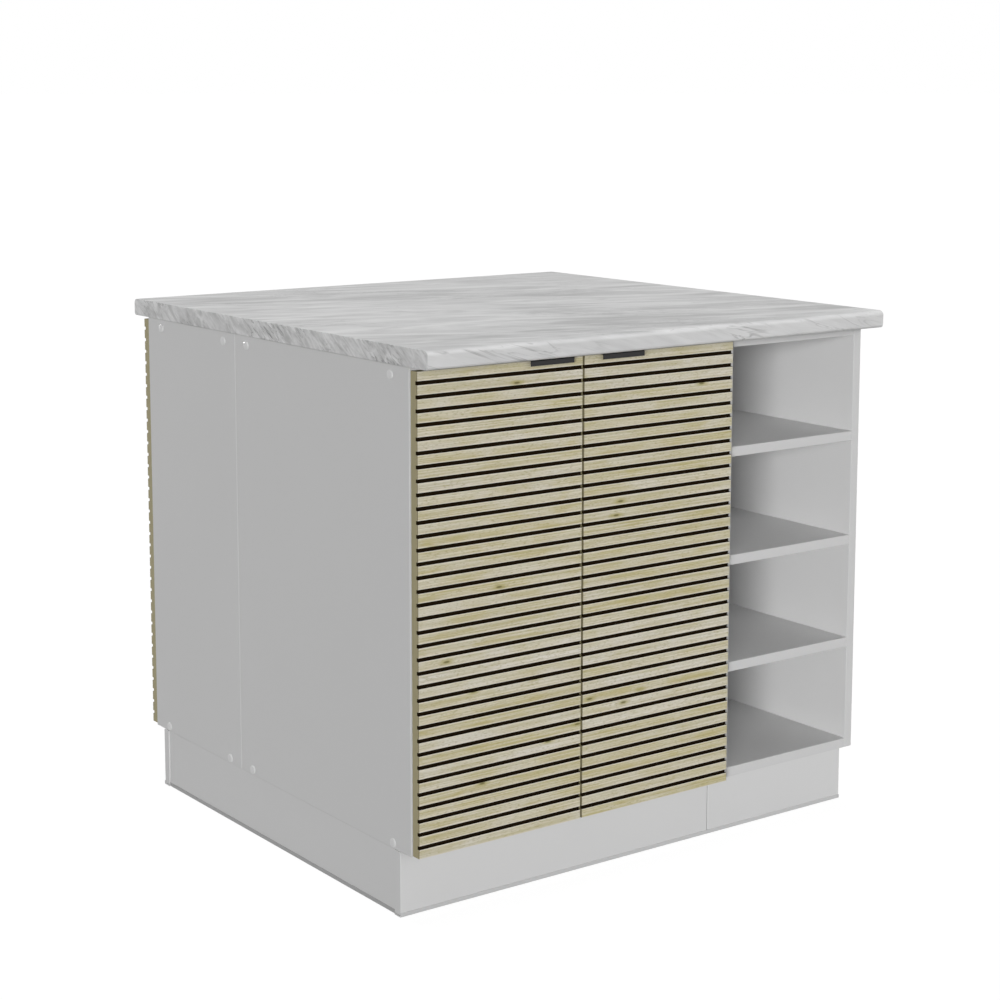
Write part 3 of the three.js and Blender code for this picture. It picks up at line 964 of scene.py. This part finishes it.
def powder_coat(name, colour, roughness):
    """Powder coat on steel: satin black with the fine orange peel that the
    powder leaves when it melts."""
    finish = new_finish(name)
    peel = noise(finish, [PEEL] * 3, 2.0)
    relief = emboss(finish, peel, 0.15, 0.2 * MM)
    dull = add_node(
        finish, "ShaderNodeMapRange",
        {"Value": peel, "To Min": roughness - 0.06, "To Max": roughness + 0.06},
    )
    return coat(
        finish,
        {
            "Base Color": linear(colour), "Roughness": dull.outputs["Result"],
            "Normal": relief, "Specular IOR Level": 0.4,
        },
    )


black_coat = powder_coat("steel_powder_coated_black", "#0F0E0F", 0.42)


def point_outwards():
    """Turns all faces of the piece in edit mode outwards."""
    bpy.ops.mesh.select_all(action="SELECT")
    bpy.ops.mesh.normals_make_consistent(inside=False)


def bend_handle(door, out):
    """A pull: a flat strip, bent twice over the door's top edge, then given
    its gauge. `out` is the sign of the door's face on Y."""
    node = f"{door}_handle"
    low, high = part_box(node)
    half = STRIP / 2
    x = (low.x + high.x) / 2
    tail_y = (low.y + half) if out > 0 else (high.y - half)
    lip_y = (high.y - half) if out > 0 else (low.y + half)
    lip_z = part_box(f"{door}_door")[1].z - LIP_DROP
    bpy.ops.object.select_all(action="DESELECT")
    bpy.ops.mesh.primitive_plane_add(size=1, rotation=(math.radians(90), 0, 0))
    strip = bpy.context.active_object
    strip.name = f"{door}_pull_strip"
    strip.scale = (high.x - low.x, high.z - half - low.z, 1)
    strip.location = (x, tail_y, (low.z + high.z - half) / 2)
    bpy.ops.object.transform_apply(location=True, rotation=True, scale=True)

    def at_top(edge):
        return all(v.co.z > high.z - 2 * STRIP for v in edge.verts)

    def is_bend(edge):
        return at_top(edge) and abs(edge.verts[0].co.y - edge.verts[1].co.y) < 1e-6

    bpy.ops.object.mode_set(mode="EDIT")
    choose(strip, "edges", at_top)
    bpy.ops.mesh.extrude_edges_move(TRANSFORM_OT_translate={"value": (0, lip_y - tail_y, 0)})
    bpy.ops.mesh.extrude_edges_move(
        TRANSFORM_OT_translate={"value": (0, 0, lip_z - high.z + half)}
    )
    choose(strip, "edges", is_bend)
    bpy.ops.mesh.bevel(offset=BEND_RADIUS, offset_type="OFFSET", segments=4, affect="EDGES")
    point_outwards()
    bpy.ops.object.mode_set(mode="OBJECT")
    gauge = strip.modifiers.new("gauge", "SOLIDIFY")
    gauge.thickness = STRIP
    gauge.offset = 0
    bpy.context.view_layer.objects.active = strip
    bpy.ops.object.modifier_apply(modifier=gauge.name)
    bpy.ops.object.mode_set(mode="EDIT")
    point_outwards()
    bpy.ops.object.mode_set(mode="OBJECT")
    round_arrises(strip, STRIP_ARRIS, 2, 50)
    strip.data.materials.append(black_coat)
    smooth_curves(strip, 40)
    fit_to_island(strip, f"{door}_door_leaf", [node])

    y = tail_y - out * (half - HANDLE_SCREW_SUNK)
    z = low.z + HANDLE_SCREW_HEIGHT
    heads = [
        drive_screw(f"screw_{i}", HANDLE_SCREW, (x + dx, y, z), (90 * out, 0, 0))
        for i, dx in enumerate((-HANDLE_SCREW_SPREAD, HANDLE_SCREW_SPREAD))
    ]
    screws = join(f"{door}_pull_strip_screws", heads)
    screws.data.materials.clear()
    screws.data.materials.append(black_coat)
    fit_to_island(screws, f"{door}_door_leaf")


for door in ("front_left", "front_right"):
    bend_handle(door, -1)
for door in ("rear_left", "rear_right"):
    bend_handle(door, 1)


# ------------------------------------------------------------------ worktop
# 28 mm chipboard with marble-effect laminate that is bent over the front and
# rear edges in one sheet. The sawn ends are closed with bands of the same
# laminate, and the underside has a plain grey backing paper.

TOP_RADIUS = 8 * MM
BOTTOM_RADIUS = 5 * MM
END_BAND = 1.5 * MM
END_ARRIS = 0.6 * MM
# The overlay's grain is finer, and is drawn as coarse as it needs to show.
OVERLAY_GRAIN = 2 * MM

# The print's tones: light clouds, ground, dark streaks and veins.
SHEET_TONES = [linear(c) for c in ("#E0E0E0", "#CCCCCC", "#B0B0B0", "#949494")]
END_TONES = [linear(c) for c in ("#E3E3E3", "#C9C9C9", "#A4A4A4", "#767676")]


def streaks(finish, lean, size, detail, distortion):
    """A warped, streaky pattern: its lean is in degrees about X, Y and Z, and
    its size is that of a streak along each, in millimetres."""
    return noise(finish, [s * MM for s in size], detail, 0.55, distortion, lean)


def cloud_marble(finish, tones, broad, fine, broad_share, fine_share):
    """The ground tone with broad light and dark clouds, and finer ones in them."""
    light, ground, dark, _ = tones
    colour = lay_over(finish, ground, dark, broad, 0.5, 0.68, broad_share)
    colour = lay_over(finish, colour, light, broad, 0.5, 0.34, broad_share)
    colour = lay_over(finish, colour, dark, fine, 0.55, 0.75, fine_share)
    return lay_over(finish, colour, light, fine, 0.45, 0.27, fine_share)


def vein_marble(finish, ground, vein, path, width, crowd, none, many, most):
    """Thin veins over a ground, along the line where the pattern `path` passes
    its middle. They grow strong as the pattern `crowd` goes from none to many."""
    past = add_node(finish, "ShaderNodeMath", {0: path, 1: 0.5}, operation="SUBTRACT")
    away = add_node(
        finish, "ShaderNodeMath", {0: past.outputs["Value"]}, operation="ABSOLUTE"
    )
    strength = add_node(
        finish, "ShaderNodeMapRange",
        {"Value": crowd, "From Min": none, "From Max": many, "To Max": most},
    )
    return lay_over(
        finish, ground, vein, away.outputs["Value"], width, 0.0, strength.outputs["Result"]
    )


def print_sheet(finish):
    """The sheet's print: on the flat, clouds and veins that lean a little
    across it. Where it is bent down over an edge, clouds and thin veins that
    run down to the right, with painted light that makes the edge paler than
    the flat. Which way the surface faces decides which print it shows."""
    light, _, _, vein = SHEET_TONES
    broad = streaks(finish, (0, 0, -17), (384.6, 100, 1000), 4.0, 1.6)
    fine = streaks(finish, (0, 0, -12), (125, 21.74, 1000), 5.0, 1.2)
    path = streaks(finish, (0, 0, -15), (200, 33.33, 1000), 4.0, 1.4)
    crowd = streaks(finish, (0, 0, -15), (333.3, 142.9, 1000), 1.0, 0.5)
    flat = cloud_marble(finish, SHEET_TONES, broad, fine, 0.75, 0.65)
    flat = vein_marble(finish, flat, vein, path, 0.018, crowd, 0.46, 0.62, 0.5)

    broad = streaks(finish, (0, 15, 0), (166.7, 1000, 25), 4.0, 1.0)
    fine = streaks(finish, (0, 15, 0), (71.43, 1000, 7.692), 4.0, 0.6)
    path = streaks(finish, (0, 17, 0), (142.9, 1000, 16.667), 3.0, 0.9)
    crowd = streaks(finish, (0, 0, 0), (166.7, 1000, 1000), 1.0, 0.0)
    edge = cloud_marble(finish, SHEET_TONES, broad, fine, 0.45, 0.5)
    # Painted light: the print on the bent-over edges is made paler than on the flat.
    edge = blend(finish, 0.35, edge, light)
    edge = vein_marble(finish, edge, vein, path, 0.03, crowd, 0.44, 0.62, 0.7)

    # Faces that look up take the flat print, and faces that look out the paler edge print.
    facing = add_node(finish, "ShaderNodeNewGeometry").outputs["Normal"]
    up = add_node(finish, "ShaderNodeSeparateXYZ", {"Vector": facing}).outputs["Z"]
    return lay_over(finish, edge, flat, up, 0.5, 0.95)


def print_end_band(finish):
    """An end band's print: stronger tones and short, steep veins that crowd in
    some places."""
    vein = END_TONES[3]
    broad = streaks(finish, (35, 0, 0), (1000, 62.5, 18.18), 4.0, 1.6)
    fine = streaks(finish, (35, 0, 0), (1000, 25, 6.667), 4.0, 1.2)
    path = streaks(finish, (33, 0, 0), (1000, 71.43, 12.5), 3.0, 1.6)
    crowd = streaks(finish, (0, 0, 0), (1000, 111.1, 111.1), 1.0, 0.0)
    colour = cloud_marble(finish, END_TONES, broad, fine, 0.6, 0.5)
    return vein_marble(finish, colour, vein, path, 0.035, crowd, 0.45, 0.56, 0.8)


def press_laminate(name, printed):
    """Printed paper under a melamine overlay, pressed on a satin plate: the
    print shows clearly, and the sheen is low and very slightly grained."""
    finish = new_finish(name)
    grain = noise(finish, [OVERLAY_GRAIN] * 3, 2.0)
    relief = emboss(finish, grain, 0.05, 0.2 * MM)
    dull = add_node(
        finish, "ShaderNodeMapRange",
        {"Value": grain, "From Min": 0.2, "From Max": 0.8, "To Min": 0.68, "To Max": 0.78},
    )
    return coat(
        finish,
        {
            "Base Color": printed(finish), "Roughness": dull.outputs["Result"],
            "Normal": relief, "IOR": 1.48, "Specular IOR Level": 0.15,
        },
    )


marble = press_laminate("laminate_marble_light_grey", print_sheet)
marble_band = press_laminate("laminate_marble_end_band", print_end_band)
backing_paper = paint_hardboard("backing_paper_grey", "#BDBDBB", "#B1B1AE")


def postform(name, x0, x1, skin, is_band):
    """A length of worktop with its long edges rolled over, as a solid."""
    low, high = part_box("worktop")
    top = saw_blank(name, (x0, low.y, low.z), (x1, high.y, high.z))
    bpy.ops.object.mode_set(mode="EDIT")

    def long_edge(level):
        return lambda edge: abs(edge.verts[0].co.x - edge.verts[1].co.x) > 1e-4 and all(
            abs(v.co.z - level) < 1e-5 and min(v.co.y - low.y, high.y - v.co.y) < 1e-5
            for v in edge.verts
        )

    choose(top, "edges", long_edge(high.z))
    bpy.ops.mesh.bevel(offset=TOP_RADIUS, segments=10, affect="EDGES")
    choose(top, "edges", long_edge(low.z))
    bpy.ops.mesh.bevel(offset=BOTTOM_RADIUS, segments=7, affect="EDGES")
    bpy.ops.object.mode_set(mode="OBJECT")
    if is_band:
        round_arrises(top, END_ARRIS, 2, 60)
    laminate, paper = range(2)
    top.data.materials.append(skin)
    top.data.materials.append(backing_paper)
    for polygon in top.data.polygons:
        below = polygon.normal.z < -0.99
        polygon.material_index = paper if below and not is_band else laminate
    smooth_curves(top, 50)
    return fit_to_island(top, "island", ["worktop"])


top_low, top_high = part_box("worktop")
postform("worktop_laminate_sheet", top_low.x + END_BAND, top_high.x - END_BAND, marble, False)
postform("worktop_end_band_left", top_low.x, top_low.x + END_BAND, marble_band, True)
postform("worktop_end_band_right", top_high.x - END_BAND, top_high.x, marble_band, True)


# ---------------------------------------------------------- room and camera
# A plain white studio: pale floor and an even glow from all round. Soft light
# comes in low from the front left, where it reaches into the shelves, and from
# straight above, and weaker light falls on the far sides.

FLOOR_SIZE = 400
FLOOR_BELOW = 0.5 * MM
FLOOR_WHITE = 1.04
FLOOR_WHITE_SHARE = 0.93
GLOW = 0.25
BACKDROP = 1.0

CAMERA_PLACE = (-2.0991, -2.8664, 1.2181)
CAMERA_YAW = 35.973
CAMERA_PITCH = 7.989
CAMERA_LENS = 76.49
CAMERA_SENSOR = 36
CAMERA_SHIFT = (0.0101, -0.12)
CAMERA_SIGHT = 200


def show_white(material):
    """1 where the camera sees a surface, directly or in metal, and 0 for the
    light that it throws on the island."""
    ray = add_node(material, "ShaderNodeLightPath").outputs
    direct = add_node(
        material, "ShaderNodeMath", {0: ray["Is Camera Ray"], 1: ray["Is Glossy Ray"]},
        operation="MAXIMUM",
    )
    seen = add_node(
        material, "ShaderNodeMath",
        {0: direct.outputs["Value"], 1: ray["Is Transmission Ray"]},
        operation="MAXIMUM",
    )
    return seen.outputs["Value"]


def paint_floor(name):
    """Pale matt paint. It is seen as white, with the island's soft shadow."""
    finish = new_finish(name)
    paint = add_node(finish, "ShaderNodeBsdfDiffuse", {"Color": linear("#7E7E7E")})
    shaded = add_node(finish, "ShaderNodeBsdfDiffuse", {"Color": linear("#F2F2F2")})
    white = add_node(
        finish, "ShaderNodeEmission", {"Color": linear("#FFFFFF"), "Strength": FLOOR_WHITE}
    )
    seen = add_node(
        finish, "ShaderNodeMixShader",
        {0: FLOOR_WHITE_SHARE, 1: shaded.outputs["BSDF"], 2: white.outputs["Emission"]},
    )
    floor_paint = add_node(
        finish, "ShaderNodeMixShader",
        {0: show_white(finish), 1: paint.outputs["BSDF"], 2: seen.outputs["Shader"]},
    )
    return end_finish(finish, floor_paint.outputs["Shader"])


bpy.ops.object.select_all(action="DESELECT")
bpy.ops.mesh.primitive_plane_add(size=FLOOR_SIZE, location=(0, 0, -FLOOR_BELOW))
floor = bpy.context.active_object
floor.name = "studio_floor"
floor.data.materials.append(paint_floor("floor_paint_white"))

world = bpy.data.worlds.new("studio_glow")
bpy.context.scene.world = world
world.use_nodes = True
world.node_tree.nodes.clear()
glow = add_node(world, "ShaderNodeBackground", {"Color": linear("#FFFFFF"), "Strength": GLOW})
backdrop = add_node(
    world, "ShaderNodeBackground", {"Color": linear("#FFFFFF"), "Strength": BACKDROP}
)
studio = add_node(
    world, "ShaderNodeMixShader",
    {0: show_white(world), 1: glow.outputs["Background"], 2: backdrop.outputs["Background"]},
)
add_node(world, "ShaderNodeOutputWorld", {"Surface": studio.outputs["Shader"]})


def shine(name, azimuth, elevation, strength, softness):
    """Light from far off. The azimuth is in degrees, left of the front, and the
    softness is the angle across which the light comes."""
    lamp = bpy.data.lights.new(name, "SUN")
    lamp.energy = strength
    lamp.angle = math.radians(softness)
    holder = bpy.data.objects.new(name, lamp)
    bpy.context.scene.collection.objects.link(holder)
    a, e = math.radians(azimuth), math.radians(elevation)
    towards = Vector((math.sin(a) * math.cos(e), math.cos(a) * math.cos(e), -math.sin(e)))
    holder.rotation_euler = towards.to_track_quat("-Z", "Y").to_euler()


shine("key_light", 48, 4, 2.7, 18)
shine("front_light", -8, 10, 0.7, 40)
shine("top_light", 0, 90, 1.25, 6)
shine("rear_light", 180, 5, 1.4, 8)
shine("side_light", -95, 6, 1.2, 30)

camera_data = bpy.data.cameras.new("camera")
camera = bpy.data.objects.new("camera", camera_data)
bpy.context.scene.collection.objects.link(camera)
camera.location = CAMERA_PLACE
camera.rotation_euler = (math.radians(90 - CAMERA_PITCH), 0, math.radians(-CAMERA_YAW))
camera_data.sensor_width = CAMERA_SENSOR
camera_data.lens = CAMERA_LENS
camera_data.shift_x, camera_data.shift_y = CAMERA_SHIFT
camera_data.clip_end = CAMERA_SIGHT
bpy.context.scene.camera = camera
bpy.context.scene.view_settings.view_transform = "Standard"
